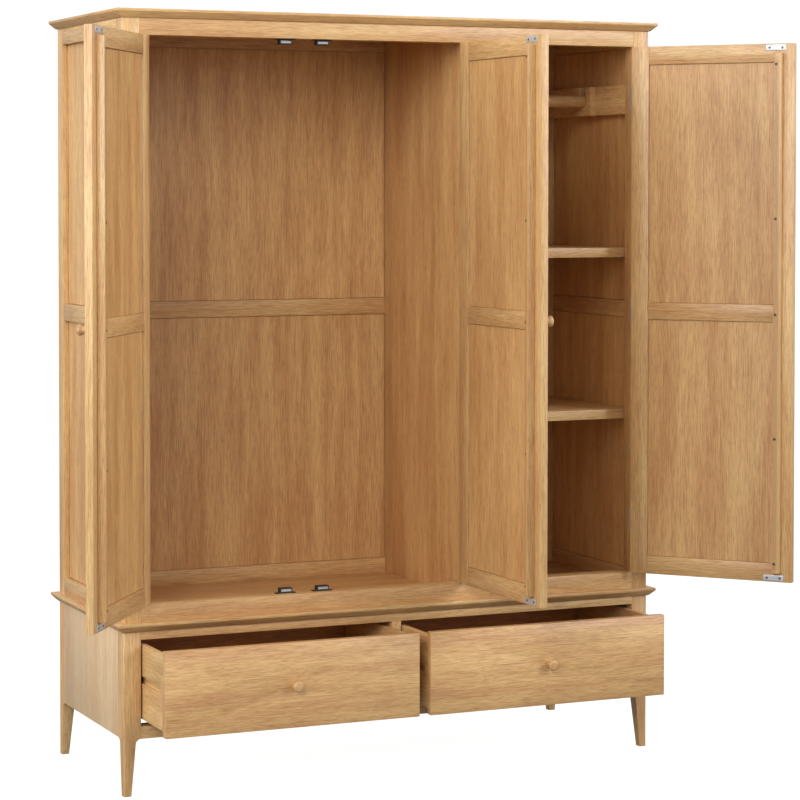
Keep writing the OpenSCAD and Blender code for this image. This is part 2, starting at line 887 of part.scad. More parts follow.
module middle_door_frame() { at_middle_door(open_middle) door_frame(); }
module middle_door_panels() { at_middle_door(open_middle) door_panels(); }
module middle_door_batten() { at_middle_door(open_middle) door_batten(); }
module middle_door_strikes() { at_middle_door(open_middle) door_strikes(); }
module middle_door_knob() { at_middle_door(open_middle) knob_at() knob(); }
module middle_door_hinge_leaves() { at_middle_door(open_middle) door_hinge_leaves(); }
module middle_door_screws() { at_middle_door(open_middle) door_screws(); }

module right_door_frame() { at_right_door(open_right) door_frame(); }
module right_door_panels() { at_right_door(open_right) door_panels(); }
module right_door_batten() { at_right_door(open_right) door_batten(); }
module right_door_strikes() { at_right_door(open_right) door_strikes(); }
module right_door_knob() { at_right_door(open_right) knob_at() knob(); }
module right_door_hinge_leaves() { at_right_door(open_right) door_hinge_leaves(); }
module right_door_screws() { at_right_door(open_right) door_screws(); }

// ---- Drawers, drawn on the left and mirrored for the right ----

// The left drawer when shut: x from the left edge of its opening, y from the front, z from its lower edge
module at_left_drawer() {
    translate([x_left + post, y_front - drawer_out, 0]) children();
}

module at_right_drawer() {
    mirror([1, 0, 0]) at_left_drawer() children();
}

// Outline of one dovetail tail in the front end of a drawer side, grown all round by a clearance:
// its root lies on the back face of the front
function tail_outline(i, grow) =
    let (pitch = box_h / tail_count, mid = box_z + (i + 1 / 2) * pitch, half = pitch * tail_share / 2 + grow)
    [[0, mid - half], [0, mid + half],
     [-tail_l - grow, mid + half + tail_slope], [-tail_l - grow, mid - half - tail_slope]];

module tails(grow) {
    for (i = [0 : tail_count - 1])
        translate([side_gap - grow, front_t, 0]) rotate([90, 0, 90])
            linear_extrude(box_t + 2 * grow) polygon(tail_outline(i, grow));
}

module drawer_knob_at() {
    translate([open_w / 2, 0, front_z + front_h / 2]) rotate([90, 0, 0]) children();
}

module drawer_front() {
    color(oak) difference() {
        block([front_gap, 0, front_z], [open_w - front_gap, front_t, front_z + front_h]);
        tails(groove_fit);
        translate([open_w, 0, 0]) mirror([1, 0, 0]) tails(groove_fit);
        block([side_gap + box_t - bottom_groove, front_t - bottom_groove - groove_fit, bottom_low],
              [open_w - side_gap - box_t + bottom_groove, front_t + past, bottom_high]);
        drawer_knob_at() knob_hole();
    }
}

module drawer_side() {
    difference() {
        union() {
            block([side_gap, front_t, box_z], [side_gap + box_t, front_t + box_l, box_z + box_h]);
            tails(0);
        }
        block([side_gap - past, front_t + groove_start + groove_h / 2, runner_z],
              [side_gap + groove_d, front_t + box_l + past, runner_z + groove_h]);
        translate([side_gap - past, front_t + groove_start + groove_h / 2, runner_z + groove_h / 2])
            rotate([0, 90, 0]) cylinder(d = groove_h, h = groove_d + past);
        block([side_gap + box_t - bottom_groove, front_t - tail_l - past, bottom_low],
              [side_gap + box_t + past, front_t + box_l + past, bottom_high]);
    }
}

module drawer_sides() {
    color(oak_light) {
        drawer_side();
        translate([open_w, 0, 0]) mirror([1, 0, 0]) drawer_side();
    }
}

module drawer_back() {
    color(oak_light)
        block([side_gap + box_t, front_t + box_l - box_t, bottom_high],
              [open_w - side_gap - box_t, front_t + box_l, box_z + box_h - back_drop]);
}

module drawer_bottom() {
    color(oak_dark)
        block([side_gap + box_t - bottom_groove + groove_fit, front_t - bottom_groove, bottom_low + groove_fit],
              [open_w - side_gap - box_t + bottom_groove - groove_fit, front_t + box_l, bottom_high - groove_fit]);
}

module left_drawer_front() { at_left_drawer() drawer_front(); }
module left_drawer_sides() { at_left_drawer() drawer_sides(); }
module left_drawer_back() { at_left_drawer() drawer_back(); }
module left_drawer_bottom() { at_left_drawer() drawer_bottom(); }
module left_drawer_knob() { at_left_drawer() drawer_knob_at() knob(); }

module right_drawer_front() { at_right_drawer() drawer_front(); }
module right_drawer_sides() { at_right_drawer() drawer_sides(); }
module right_drawer_back() { at_right_drawer() drawer_back(); }
module right_drawer_bottom() { at_right_drawer() drawer_bottom(); }
module right_drawer_knob() { at_right_drawer() drawer_knob_at() knob(); }

legs();
base_side_panels();
base_back_panel();
base_top_rail();
base_bottom_rail();
drawer_divider();
centre_board();
drawer_runners();
base_top();
upper_posts();
front_top_rail();
front_bottom_rail();
centre_stile();
partition();
side_rails();
side_panels();
back_frame();
back_panels();
floor_panel();
cornice();
shelves();
shelf_pins();
hanging_rail();
rail_supports();
catch_housings();
catch_magnets();
catch_screws();
frame_hinge_leaves();
hinge_pins();
left_door_frame();
left_door_panels();
left_door_batten();
left_door_strikes();
left_door_knob();
left_door_hinge_leaves();
left_door_screws();
middle_door_frame();
middle_door_panels();
middle_door_batten();
middle_door_strikes();
middle_door_knob();
middle_door_hinge_leaves();
middle_door_screws();
right_door_frame();
right_door_panels();
right_door_batten();
right_door_strikes();
right_door_knob();
right_door_hinge_leaves();
right_door_screws();
left_drawer_front();
left_drawer_sides();
left_drawer_back();
left_drawer_bottom();
left_drawer_knob();
right_drawer_front();
right_drawer_sides();
right_drawer_back();
right_drawer_bottom();
right_drawer_knob();
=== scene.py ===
"""Three-door oak wardrobe on a two-drawer base: its pieces, materials, light and camera."""
import math
import random
import bpy
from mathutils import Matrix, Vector


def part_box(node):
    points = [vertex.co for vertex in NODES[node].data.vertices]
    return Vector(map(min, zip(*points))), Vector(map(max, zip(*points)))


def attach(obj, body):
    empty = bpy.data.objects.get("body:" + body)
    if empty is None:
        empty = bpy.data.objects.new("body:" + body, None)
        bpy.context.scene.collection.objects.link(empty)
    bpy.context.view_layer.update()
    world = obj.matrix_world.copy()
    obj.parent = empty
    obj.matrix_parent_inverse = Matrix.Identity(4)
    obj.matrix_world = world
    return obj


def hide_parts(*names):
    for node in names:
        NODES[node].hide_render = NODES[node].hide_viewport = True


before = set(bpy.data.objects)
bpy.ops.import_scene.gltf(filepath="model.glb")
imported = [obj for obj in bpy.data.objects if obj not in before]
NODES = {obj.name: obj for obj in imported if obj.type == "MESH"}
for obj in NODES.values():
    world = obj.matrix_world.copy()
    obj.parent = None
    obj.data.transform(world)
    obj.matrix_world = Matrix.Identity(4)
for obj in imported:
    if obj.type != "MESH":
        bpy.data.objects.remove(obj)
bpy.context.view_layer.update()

for thing in [o for o in bpy.data.objects if o.type in ("LIGHT", "CAMERA")]:
    bpy.data.objects.remove(thing)

# ---------------------------------------------------------------- sizes, in metres

MM = 0.001
dice = random.Random(7)

LEFT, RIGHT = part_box("legs")[0].x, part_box("legs")[1].x
FRONT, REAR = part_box("legs")[0].y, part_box("legs")[1].y
POST = 0.046
Z_RAIL_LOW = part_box("base_bottom_rail")[0].z
Z_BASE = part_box("base_top_rail")[1].z
Z_UPPER, Z_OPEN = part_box("front_bottom_rail")[0].z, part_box("front_bottom_rail")[1].z
Z_OPEN_TOP, Z_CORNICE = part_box("front_top_rail")[0].z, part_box("front_top_rail")[1].z
X_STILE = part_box("centre_stile")[0].x
X_PART, X_PART_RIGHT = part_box("partition")[0].x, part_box("partition")[1].x
Y_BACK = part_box("back_frame")[0].y
BACK_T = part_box("back_frame")[1].y - Y_BACK
MID_LOW, MID_HIGH = 1.177, 1.222
BASE_SIDE_T = 0.020
SIDE_T = 0.024
# Panels: their thickness and the tongue that sits in a groove. A side panel is measured from the
# outside of the carcass to its outer face, a back panel from the inner face of the back frame to
# its own inner face, and a door panel from the inner face of the door to its outer face.
FIELD_T = 0.006
TONGUE = 0.006
SIDE_FIELD_IN = 0.015
BACK_FIELD_IN = 0.004
DOOR_FIELD_IN = 0.010
# Shelves: their thickness and the play behind them
SHELF_T = 0.026
SHELF_PLAY = 0.0004
# Doors: their size, the play over and under them, the width of their frame, the gap at the hinges
# and the line of the hinge pins
DOOR_W, DOOR_T = 0.4509333, 0.020
DOOR_PLAY = 0.0015
DOOR_LOW, DOOR_HIGH = Z_OPEN + DOOR_PLAY, Z_OPEN_TOP - DOOR_PLAY
FRAME_W = 0.049
HINGE_GAP = 0.0024
PIN_Y = FRONT - 0.0038
# Closing batten: its width, thickness, how far its ends stop short, and its screw holes, whose
# heights are shares of its length
BATTEN_W, BATTEN_T, BATTEN_SHORT = 0.018, 0.020, 0.025
BATTEN_HOLE_IN, BATTEN_HOLE_R, BATTEN_HOLE_DEEP = 0.0056, 0.004, 0.008
DRILL_L = 0.012
BATTEN_SHARES = [0.018, 0.259, 0.498, 0.682, 0.978]
# Strike plates: where they lie from the free edge, their thickness, height, distance from the
# door's end, and their screw holes
STRIKE_NEAR, STRIKE_FAR = 0.0225, 0.0775
STRIKE_T, STRIKE_H, STRIKE_UP = 0.0015, 0.0155, 0.003
STRIKE_HOLE_IN, STRIKE_HOLE_R, STRIKE_HOLE_L = 0.010, 0.0033, 0.006
KNOB_IN = 0.028
# Two places closer than this are the same place
SAME = 1e-6
# Each door: x of its pin, which way it runs from the pin, and how far it stands open
DOORS = {
    "left_door": (LEFT + POST + HINGE_GAP / 2, 1, -126.0),
    "middle_door": (X_STILE - HINGE_GAP / 2, -1, 91.0),
    "right_door": (RIGHT - POST - HINGE_GAP / 2, -1, 131.5),
}

# ---------------------------------------------------------------- materials


def tint(code):
    """A linear colour from an sRGB hex value."""
    out = []
    for i in (1, 3, 5):
        c = int(code[i:i + 2], 16) / 255
        out.append(c / 12.92 if c <= 0.04045 else ((c + 0.055) / 1.055) ** 2.4)
    return (*out, 1.0)


# Growth rings are wide apart where a flat-sawn board cuts them aslant: mm from ring to ring
RING = 10


def start(name):
    """A new material with a plain shader and an output, and its node tree."""
    mat = bpy.data.materials.new(name)
    mat.use_nodes = True
    tree = mat.node_tree
    tree.nodes.clear()
    shader = tree.nodes.new("ShaderNodeBsdfPrincipled")
    out = tree.nodes.new("ShaderNodeOutputMaterial")
    tree.links.new(shader.outputs["BSDF"], out.inputs["Surface"])
    return mat, tree, shader


def put(tree, kind, settings=None, sockets=None):
    """Adds a node: settings are its properties, sockets are values or the outputs that feed its
    inputs."""
    made = tree.nodes.new("ShaderNode" + kind)
    for key, value in (settings or {}).items():
        setattr(made, key, value)
    for key, value in (sockets or {}).items():
        if isinstance(value, bpy.types.NodeSocket):
            tree.links.new(value, made.inputs[key])
        else:
            made.inputs[key].default_value = value
    return made


def ramp(tree, source, stops):
    """A colour ramp over source; stops are (position, colour)."""
    made = put(tree, "ValToRGB", sockets={"Fac": source})
    band = made.color_ramp
    while len(band.elements) > 1:
        band.elements.remove(band.elements[-1])
    band.elements[0].position, band.elements[0].color = stops[0]
    for where, colour in stops[1:]:
        band.elements.new(where).color = colour
    return made.outputs["Color"]


def brightened(code, factor):
    """The linear colour of a hex value times factor, no channel over 1."""
    return tuple(min(1, c * factor) for c in tint(code)[:3]) + (1,)


def oak(name, pale, honey, russet, line, roughness, figure, lively=1.0):
    """Oak under a satin lacquer. Slow drifts from straw to russet, fine short fibres, faint growth
    rings that arch along the board and open pores give it the look of wood sawn and rubbed smooth.
    figure is how strong the rings are, and lively how strong the fibres are. Boards carry their own
    directions: 'grain' holds metres along, across and through, 'tone' how pale a board is."""
    mat, tree, shader = start(name)
    where = put(tree, "Attribute", {"attribute_name": "grain"}).outputs["Vector"]
    tone = put(tree, "Attribute", {"attribute_name": "tone"}).outputs["Fac"]

    def stretched(along, across, detail, rough=0.55, seed=0.0):
        """Noise whose spots are along mm long and across mm wide."""
        scaled = put(tree, "Mapping", sockets={
            "Vector": where, "Location": (seed, seed * 1.7, seed * 0.6),
            "Scale": (1 / (along * MM), 1 / (across * MM), 1 / (across * MM))})
        return put(tree, "TexNoise", sockets={
            "Vector": scaled.outputs["Vector"], "Scale": 1.0, "Detail": detail,
            "Roughness": rough}).outputs["Fac"]

    def between(source, low, high, at_low, at_high):
        """The source turned from low..high to at_low..at_high, held at the ends."""
        return put(tree, "MapRange", sockets={"Value": source, "From Min": low, "From Max": high,
                                              "To Min": at_low, "To Max": at_high}).outputs[0]

    def over(blend, amount, below, above):
        """One colour blended over another."""
        return put(tree, "MixRGB", {"blend_type": blend}, {
            "Fac": amount, "Color1": below, "Color2": above}).outputs[0]

    # Drifts of colour 44 mm wide, fibres 3 mm wide and threads 2 mm wide. Real fibres and pores are
    # finer than shows, so they are drawn as coarse as they need to be seen.
    drift = stretched(480, 44, 3.0, 0.6, 3.0)
    fibres = stretched(84, 3.0, 4.0, 0.65)
    threads = stretched(40, 2.0, 2.0, 0.5, 21.0)
    # Growth rings RING mm apart, bent by a slow wander so that they arch along a flat-sawn board
    wander = stretched(300, 60, 3.0, 0.55, 9.0)
    bend = put(tree, "CombineXYZ", sockets={"Z": between(wander, 0, 1, -0.06, 0.06)}).outputs[0]
    bent = put(tree, "VectorMath", {"operation": "ADD"}, {0: where, 1: bend}).outputs[0]
    log = put(tree, "Mapping", sockets={"Vector": bent, "Location": (0, 0.031, -0.17)}).outputs["Vector"]
    rings = put(tree, "TexWave", {"wave_type": "RINGS", "rings_direction": "X", "wave_profile": "SAW"}, {
        "Vector": log, "Scale": 2 * math.pi / (20 * RING * MM), "Distortion": 1.2, "Detail": 3.0,
        "Detail Scale": 3.0, "Detail Roughness": 0.6}).outputs["Fac"]
    lines = stretched(120, 2.2, 3.0, 0.6, 5.0)
    pores = stretched(24, 1.8, 1.0, 0.5, 15.0)

    colour = ramp(tree, drift, [(0.33, tint(russet)), (0.50, tint(honey)), (0.67, tint(pale))])
    colour = over("MULTIPLY", 0.58 * lively, colour, ramp(tree, fibres, [
        (0.36, (0.78, 0.71, 0.64, 1)), (0.49, (0.97, 0.96, 0.94, 1)), (0.62, (1.06, 1.06, 1.05, 1))]))
    colour = over("MULTIPLY", 0.8 * lively, colour, ramp(tree, threads, [
        (0.38, (0.82, 0.77, 0.71, 1)), (0.55, (1.05, 1.05, 1.05, 1))]))
    colour = over("MULTIPLY", figure, colour, ramp(tree, rings, [
        (0.0, (0.74, 0.62, 0.52, 1)), (0.30, (0.98, 0.96, 0.94, 1)), (1.0, (1.03, 1.02, 1.0, 1))]))
    colour = over("MIX", between(lines, 0.58, 0.68, 0.0, 0.52 * lively), colour, tint(line))
    colour = over("MIX", between(pores, 0.60, 0.70, 0.0, 0.30), colour, tint(line))
    shade = put(tree, "HueSaturation", sockets={
        "Color": colour, "Value": between(tone, 0, 1, 0.93, 1.06)})
    tree.links.new(shade.outputs[0], shader.inputs["Base Color"])
    tree.links.new(between(pores, 0.35, 0.72, roughness - 0.05, roughness + 0.16),
                   shader.inputs["Roughness"])
    low = put(tree, "Math", {"operation": "MULTIPLY"}, {0: pores, 1: -0.6}).outputs[0]
    relief = put(tree, "Math", {"operation": "ADD"}, {0: low, 1: threads}).outputs[0]
    bump = put(tree, "Bump", sockets={"Height": relief, "Strength": 0.10, "Distance": 0.4 * MM})
    tree.links.new(bump.outputs[0], shader.inputs["Normal"])
    shader.inputs["IOR"].default_value = 1.5
    shader.inputs["Coat Weight"].default_value = 0.35
    shader.inputs["Coat Roughness"].default_value = 0.32
    return mat


# Solid oak frame members: straw to honey, close grained
oak_solid = oak("oak_solid_lacquered", "#dbb982", "#d1a973", "#c79a68", "#8d5632", 0.44, 0.20)
# Wide panels: more figure, a shade warmer
oak_panel = oak("oak_panel_lacquered", "#dcb47a", "#d1a56e", "#c5945f", "#86502b", 0.42, 0.24)
# Inside boards: the same oak, a shade redder under less lacquer
oak_inside = oak("oak_inside_boards", "#d0a06b", "#c6935f", "#b98355", "#7a4123", 0.52, 0.26)
# Sides of the base: a little paler and greyer than the posts beside it, a painted sheen that stands in
# for the light from the left glancing off them
oak_painted_sheen = oak("oak_side_painted_sheen", "#dcc19c", "#d7b890", "#d1ae86", "#a07a58", 0.42, 0.16, 0.6)
# Drawer fronts: wide flat-sawn boards whose rings run out along them
oak_front = oak("oak_flat_sawn_front", "#dab47d", "#cfa671", "#c49567", "#915c36", 0.44, 0.40)


def steel(name, code, roughness, spacing, metallic=1.0):
    """Plated steel, rolled and tumbled: bright, with faint rolling lines spacing mm apart. A
    passivated plate is partly chalky, so its metallic can be under 1."""
    mat, tree, shader = start(name)
    where = put(tree, "TexCoord").outputs["Object"]
    scaled = put(tree, "Mapping", sockets={"Vector": where, "Scale": (
        1 / (spacing * MM), 1 / (spacing * MM), 1 / (spacing * 18 * MM))})
    rolled = put(tree, "TexNoise", sockets={
        "Vector": scaled.outputs[0], "Scale": 1.0, "Detail": 3.0}).outputs["Fac"]
    colour = ramp(tree, rolled, [(0.3, tint(code)), (0.7, brightened(code, 1.18))])
    tree.links.new(colour, shader.inputs["Base Color"])
    shader.inputs["Metallic"].default_value = metallic
    tree.links.new(put(tree, "MapRange", sockets={
        "Value": rolled, "To Min": roughness - 0.08, "To Max": roughness + 0.12}).outputs[0],
        shader.inputs["Roughness"])
    bump = put(tree, "Bump", sockets={"Height": rolled, "Strength": 0.15, "Distance": 0.1 * MM})
    tree.links.new(bump.outputs[0], shader.inputs["Normal"])
    return mat


# Zinc-plated pressed steel: pale, a little chalky
steel_zinc = steel("steel_zinc_plated", "#c3c5c9", 0.42, 0.6, 0.55)
# Screws with a blackened finish: dark and metallic
steel_screw = steel("steel_screw_blackened", "#5d5b59", 0.42, 0.5)
# Pole plates of the magnetic catches: plated, and rubbed duller than the strikes
steel_pole = steel("steel_pole_plate", "#b4b7bb", 0.50, 0.4, 0.6)


def moulded(name, code):
    """Injection-moulded nylon with a fine spark-eroded texture, which keeps its sheen soft."""
    mat, tree, shader = start(name)
    where = put(tree, "TexCoord").outputs["Object"]
    grit = put(tree, "TexNoise", sockets={
        "Vector": where, "Scale": 1 / (0.7 * MM), "Detail": 2.0}).outputs["Fac"]
    tree.links.new(ramp(tree, grit, [(0.3, tint(code)), (0.7, brightened(code, 1.5))]),
                   shader.inputs["Base Color"])
    sheen = put(tree, "MapRange", sockets={"Value": grit, "To Min": 0.42, "To Max": 0.6})
    tree.links.new(sheen.outputs[0], shader.inputs["Roughness"])
    bump = put(tree, "Bump", sockets={"Height": grit, "Strength": 0.2, "Distance": 0.1 * MM})
    tree.links.new(bump.outputs[0], shader.inputs["Normal"])
    shader.inputs["IOR"].default_value = 1.53
    return mat


# Catch housings: black nylon, dull where moulded
nylon_black = moulded("nylon_black_moulded", "#1b1c1e")

# ---------------------------------------------------------------- making pieces


def deselect():
    """Leaves nothing selected."""
    for o in bpy.context.selected_objects:
        o.select_set(False)


def only(piece):
    """Leaves just this piece selected and active."""
    deselect()
    piece.select_set(True)
    bpy.context.view_layer.objects.active = piece


def settle(piece):
    """Puts the piece's place, turn and size into its mesh."""
    only(piece)
    bpy.ops.object.transform_apply(location=True, rotation=True, scale=True)


def blank(low, high):
    """A block of wood or metal between two corners, ready to be worked."""
    deselect()
    bpy.ops.mesh.primitive_cube_add(size=1, location=(low + high) / 2, scale=high - low)
    piece = bpy.context.object
    settle(piece)
    return piece


def lay_grain(piece, axis, tone=None):
    """Gives the board its grain: metres along, across and through it, shifted so that no two boards
    match. tone is how pale the board is, from 0 to 1, and is drawn by lot unless given."""
    mesh = piece.data
    order = {"X": (0, 1, 2), "Y": (1, 0, 2), "Z": (2, 0, 1)}[axis]
    shift = [dice.uniform(-9, 9), dice.uniform(-0.03, 0.03), dice.uniform(-0.05, 0.02)]
    low = [min(v.co[i] for v in mesh.vertices) for i in order]
    high = [max(v.co[i] for v in mesh.vertices) for i in order]
    middle = [(a + b) / 2 for a, b in zip(low, high)]
    places = [[v.co[order[k]] - middle[k] + shift[k] for k in range(3)] for v in mesh.vertices]
    mesh.attributes.new("grain", "FLOAT_VECTOR", "POINT")
    mesh.attributes.new("tone", "FLOAT", "POINT")
    tone = dice.uniform(0.2, 0.8) if tone is None else tone
    mesh.attributes["grain"].data.foreach_set("vector", [c for place in places for c in place])
    mesh.attributes["tone"].data.foreach_set("value", [tone] * len(places))


def board(low, high, grain, ease=1.0, corner=None, radius=0.0):
    """A planed board between two corners: its arrises are eased by ease mm. corner is the upright
    corner, as sign of x and sign of y, that is rounded to radius mm."""
    low, high = Vector(low), Vector(high)
    piece = blank(low, high)
    bpy.ops.object.mode_set(mode="EDIT")
    if corner:
        round_x = high.x if corner[0] > 0 else low.x
        round_y = high.y if corner[1] > 0 else low.y
        pick_edges(piece, lambda a, b: all(
            abs(v.x - round_x) < SAME and abs(v.y - round_y) < SAME for v in (a, b)))
        bpy.ops.mesh.bevel(offset=radius * MM, segments=5, affect="EDGES")
    pick_edges(piece, sharp=True)
    bpy.ops.mesh.bevel(offset=ease * MM, segments=2, affect="EDGES")
    bpy.ops.object.mode_set(mode="OBJECT")
    lay_grain(piece, grain)
    return piece


# Shadow gap round a panel: how wide and how deep
GAP, SINK = 1.8 * MM, 2.2 * MM


def field(low, high, axis):
    """A thin panel held in grooves by a tongue all round. A fine shadow gap runs where the frame
    meets it, as a groove GAP wide and SINK deep in both faces."""
    low, high = Vector(low), Vector(high)
    piece = blank(low, high)
    thick = "XYZ".index(axis)
    flat = [i for i in range(3) if i != thick]

    def inward(v):
        """How far a point is from the nearest edge of the panel."""
        return min(min(v.co[i] - low[i], high[i] - v.co[i]) for i in flat)

    bpy.ops.object.mode_set(mode="EDIT")
    bpy.ops.mesh.select_mode(type="FACE")
    for sign in (-1, 1):
        for step in (TONGUE, GAP):
            bpy.ops.mesh.select_all(action="DESELECT")
            bpy.ops.object.mode_set(mode="OBJECT")
            faces = [f for f in piece.data.polygons if sign * f.normal[thick] > 0.9]
            max(faces, key=lambda f: f.area).select = True
            bpy.ops.object.mode_set(mode="EDIT")
            bpy.ops.mesh.inset(thickness=step)
        bpy.ops.mesh.select_all(action="DESELECT")
        bpy.ops.object.mode_set(mode="OBJECT")
        for f in piece.data.polygons:
            depths = [inward(piece.data.vertices[v]) for v in f.vertices]
            f.select = (sign * f.normal[thick] > 0.9 and abs(min(depths) - TONGUE) < 10 * SAME and
                        abs(max(depths) - TONGUE - GAP) < 10 * SAME)
        bpy.ops.object.mode_set(mode="EDIT")
        move = [0, 0, 0]
        move[thick] = -sign * SINK
        bpy.ops.mesh.extrude_region_move(TRANSFORM_OT_translate={"value": move})
    bpy.ops.mesh.select_all(action="SELECT")
    bpy.ops.mesh.normals_make_consistent(inside=False)
    bpy.ops.object.mode_set(mode="OBJECT")
    lay_grain(piece, "Z")
    return piece


def pick_edges(piece, wanted=None, sharp=False):
    """In edit mode, selects the edges whose ends satisfy wanted, or all that turn by over 40 degrees."""
    bpy.ops.mesh.select_mode(type="EDGE")
    bpy.ops.mesh.select_all(action="DESELECT")
    if sharp:
        bpy.ops.mesh.edges_select_sharp(sharpness=math.radians(40))
        return
    bpy.ops.object.mode_set(mode="OBJECT")
    mesh = piece.data
    for e in mesh.edges:
        e.select = bool(wanted(mesh.vertices[e.vertices[0]].co, mesh.vertices[e.vertices[1]].co))
    bpy.ops.object.mode_set(mode="EDIT")


def cut_level(piece, point, normal, keep_lower=False, keep_upper=False):
    """Cuts the whole mesh along a plane; one side can be thrown away and the cut closed."""
    only(piece)
    bpy.ops.object.mode_set(mode="EDIT")
    bpy.ops.mesh.select_all(action="SELECT")
    bpy.ops.mesh.bisect(plane_co=point, plane_no=normal, clear_outer=keep_lower, clear_inner=keep_upper,
                        use_fill=keep_lower or keep_upper)
    bpy.ops.object.mode_set(mode="OBJECT")


def joined(name, pieces):
    """Joins boards into one named piece."""
    only(pieces[0])
    for p in pieces[1:]:
        p.select_set(True)
    if len(pieces) > 1:
        bpy.ops.object.join()
    piece = bpy.context.object
    piece.name = piece.data.name = name
    return piece


def dress(piece, body, material, slot, *nodes, smooth=30):
    """Finishes a piece: its material, smooth shading over eased arrises, the body that it rides on
    and the CAD nodes that it stands for."""
    only(piece)
    piece.data.materials.clear()
    piece.data.materials.append(material)
    bpy.ops.object.shade_smooth_by_angle(angle=math.radians(smooth))
    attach(piece, body)
    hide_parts(*nodes)
    return piece


def eased_copy(node, ease, grain=None, segments=2):
    """A copy of a CAD node with its triangles merged and its arrises eased by ease mm."""
    mesh = NODES[node].data.copy()
    piece = bpy.data.objects.new(node + "_eased", mesh)
    bpy.context.scene.collection.objects.link(piece)
    only(piece)
    bpy.ops.object.mode_set(mode="EDIT")
    bpy.ops.mesh.select_all(action="SELECT")
    bpy.ops.mesh.remove_doubles(threshold=0.00001)
    bpy.ops.mesh.dissolve_limited(angle_limit=math.radians(0.5))
    pick_edges(piece, sharp=True)
    bpy.ops.mesh.bevel(offset=ease * MM, segments=segments, affect="EDGES", clamp_overlap=False)
    bpy.ops.object.mode_set(mode="OBJECT")
    if grain:
        lay_grain(piece, grain)
    return piece


def drilled(piece, holes):
    """Drills holes from front to back, each (centre, radius, depth)."""
    cutters = []
    for centre, radius, depth in holes:
        deselect()
        bpy.ops.mesh.primitive_cylinder_add(vertices=32, radius=radius, depth=depth, location=centre)
        drill = bpy.context.object
        drill.rotation_euler = (math.pi / 2, 0, 0)
        settle(drill)
        cutters.append(drill)
    cutter = joined("cutter", cutters)
    only(piece)
    cut = piece.modifiers.new("holes", "BOOLEAN")
    cut.operation, cut.solver, cut.object = "DIFFERENCE", "EXACT", cutter
    bpy.ops.object.modifier_apply(modifier=cut.name)
    bpy.data.objects.remove(cutter)
    return piece


def turned(profile, segments):
    """A turned piece standing on +Z: profile is (radius, height) in mm, drawn out step by step from
    its base."""
    deselect()
    first = profile[0]
    bpy.ops.mesh.primitive_circle_add(vertices=segments, radius=first[0] * MM, fill_type="NGON",
                                      location=(0, 0, first[1] * MM))
    piece = bpy.context.object
    settle(piece)
    bpy.ops.object.mode_set(mode="EDIT")
    bpy.ops.mesh.select_all(action="SELECT")
    for (r0, z0), (r1, z1) in zip(profile, profile[1:]):
        bpy.ops.mesh.extrude_region_move(TRANSFORM_OT_translate={"value": (0, 0, (z1 - z0) * MM)})
        bpy.ops.transform.resize(value=(r1 / r0, r1 / r0, 1), center_override=(0, 0, z1 * MM))
    bpy.ops.mesh.select_all(action="SELECT")
    bpy.ops.mesh.remove_doubles(threshold=0.000001)
    bpy.ops.mesh.normals_make_consistent(inside=False)
    bpy.ops.object.mode_set(mode="OBJECT")
    return piece


# ---------------------------------------------------------------- base

# Legs: how wide they are at the floor and where the flare starts, and how tall the flare is
FOOT, NECK, FLARE = 0.020, 0.032, 0.013
# Radius of the outer corner of legs and posts, in mm
CORNER_R = 3.5


def corner_signs():
    """The four corners, as sign of x and sign of y."""
    return [(sx, sy) for sx in (-1, 1) for sy in (-1, 1)]


def corner_span(sx, sy):
    """The x and y that a post takes up at a corner."""
    x0, x1 = (LEFT, LEFT + POST) if sx < 0 else (RIGHT - POST, RIGHT)
    y0, y1 = (FRONT, FRONT + POST) if sy < 0 else (REAR - POST, REAR)
    return x0, x1, y0, y1


def make_leg(sx, sy):
    """A leg: straight outside, tapered on both inner faces, flared into the base, with its outer
    corner rounded."""
    x0, x1, y0, y1 = corner_span(sx, sy)
    leg = blank(Vector((x0, y0, 0)), Vector((x1, y1, Z_BASE)))
    levels = [(0.0, FOOT)]
    levels += [(Z_RAIL_LOW - FLARE + FLARE * math.sin(math.radians(a)),
                POST - (POST - NECK) * math.cos(math.radians(a))) for a in (0, 22.5, 45, 67.5, 90)]
    for z, _ in levels[1:]:
        cut_level(leg, (0, 0, z), (0, 0, 1))
    inner_x = x1 if sx < 0 else x0
    inner_y = y1 if sy < 0 else y0
    bpy.ops.object.mode_set(mode="EDIT")
    for z, width in levels:
        for axis, inner, sign in ((0, inner_x, sx), (1, inner_y, sy)):
            bpy.ops.mesh.select_mode(type="VERT")
            bpy.ops.mesh.select_all(action="DESELECT")
            bpy.ops.object.mode_set(mode="OBJECT")
            for v in leg.data.vertices:
                v.select = abs(v.co[axis] - inner) < SAME and abs(v.co.z - z) < 10 * SAME
            bpy.ops.object.mode_set(mode="EDIT")
            move = [0, 0, 0]
            move[axis] = sign * (POST - width)
            if abs(move[axis]) > SAME:
                bpy.ops.transform.translate(value=move)
    outer_x = x0 if sx < 0 else x1
    outer_y = y0 if sy < 0 else y1
    pick_edges(leg, lambda a, b: all(
        abs(v.x - outer_x) < SAME and abs(v.y - outer_y) < SAME for v in (a, b)))
    bpy.ops.mesh.bevel(offset=CORNER_R * MM, segments=5, affect="EDGES")
    pick_edges(leg, sharp=True)
    bpy.ops.mesh.bevel(offset=1.0 * MM, segments=2, affect="EDGES")
    bpy.ops.object.mode_set(mode="OBJECT")
    lay_grain(leg, "Z")
    return leg


dress(joined("tapered_legs", [make_leg(sx, sy) for sx, sy in corner_signs()]),
      "carcass", oak_solid, "oak_frame", "legs")

side_low, side_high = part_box("base_side_panels")
# The sides of the base take the oak with the painted sheen
dress(joined("base_sides", [
    board((x, FRONT + POST, Z_RAIL_LOW), (x + BASE_SIDE_T, REAR - POST, Z_BASE), "Z", 0.6)
    for x in (side_low.x, side_high.x - BASE_SIDE_T)]),
    "carcass", oak_painted_sheen, "oak_panel", "base_side_panels")


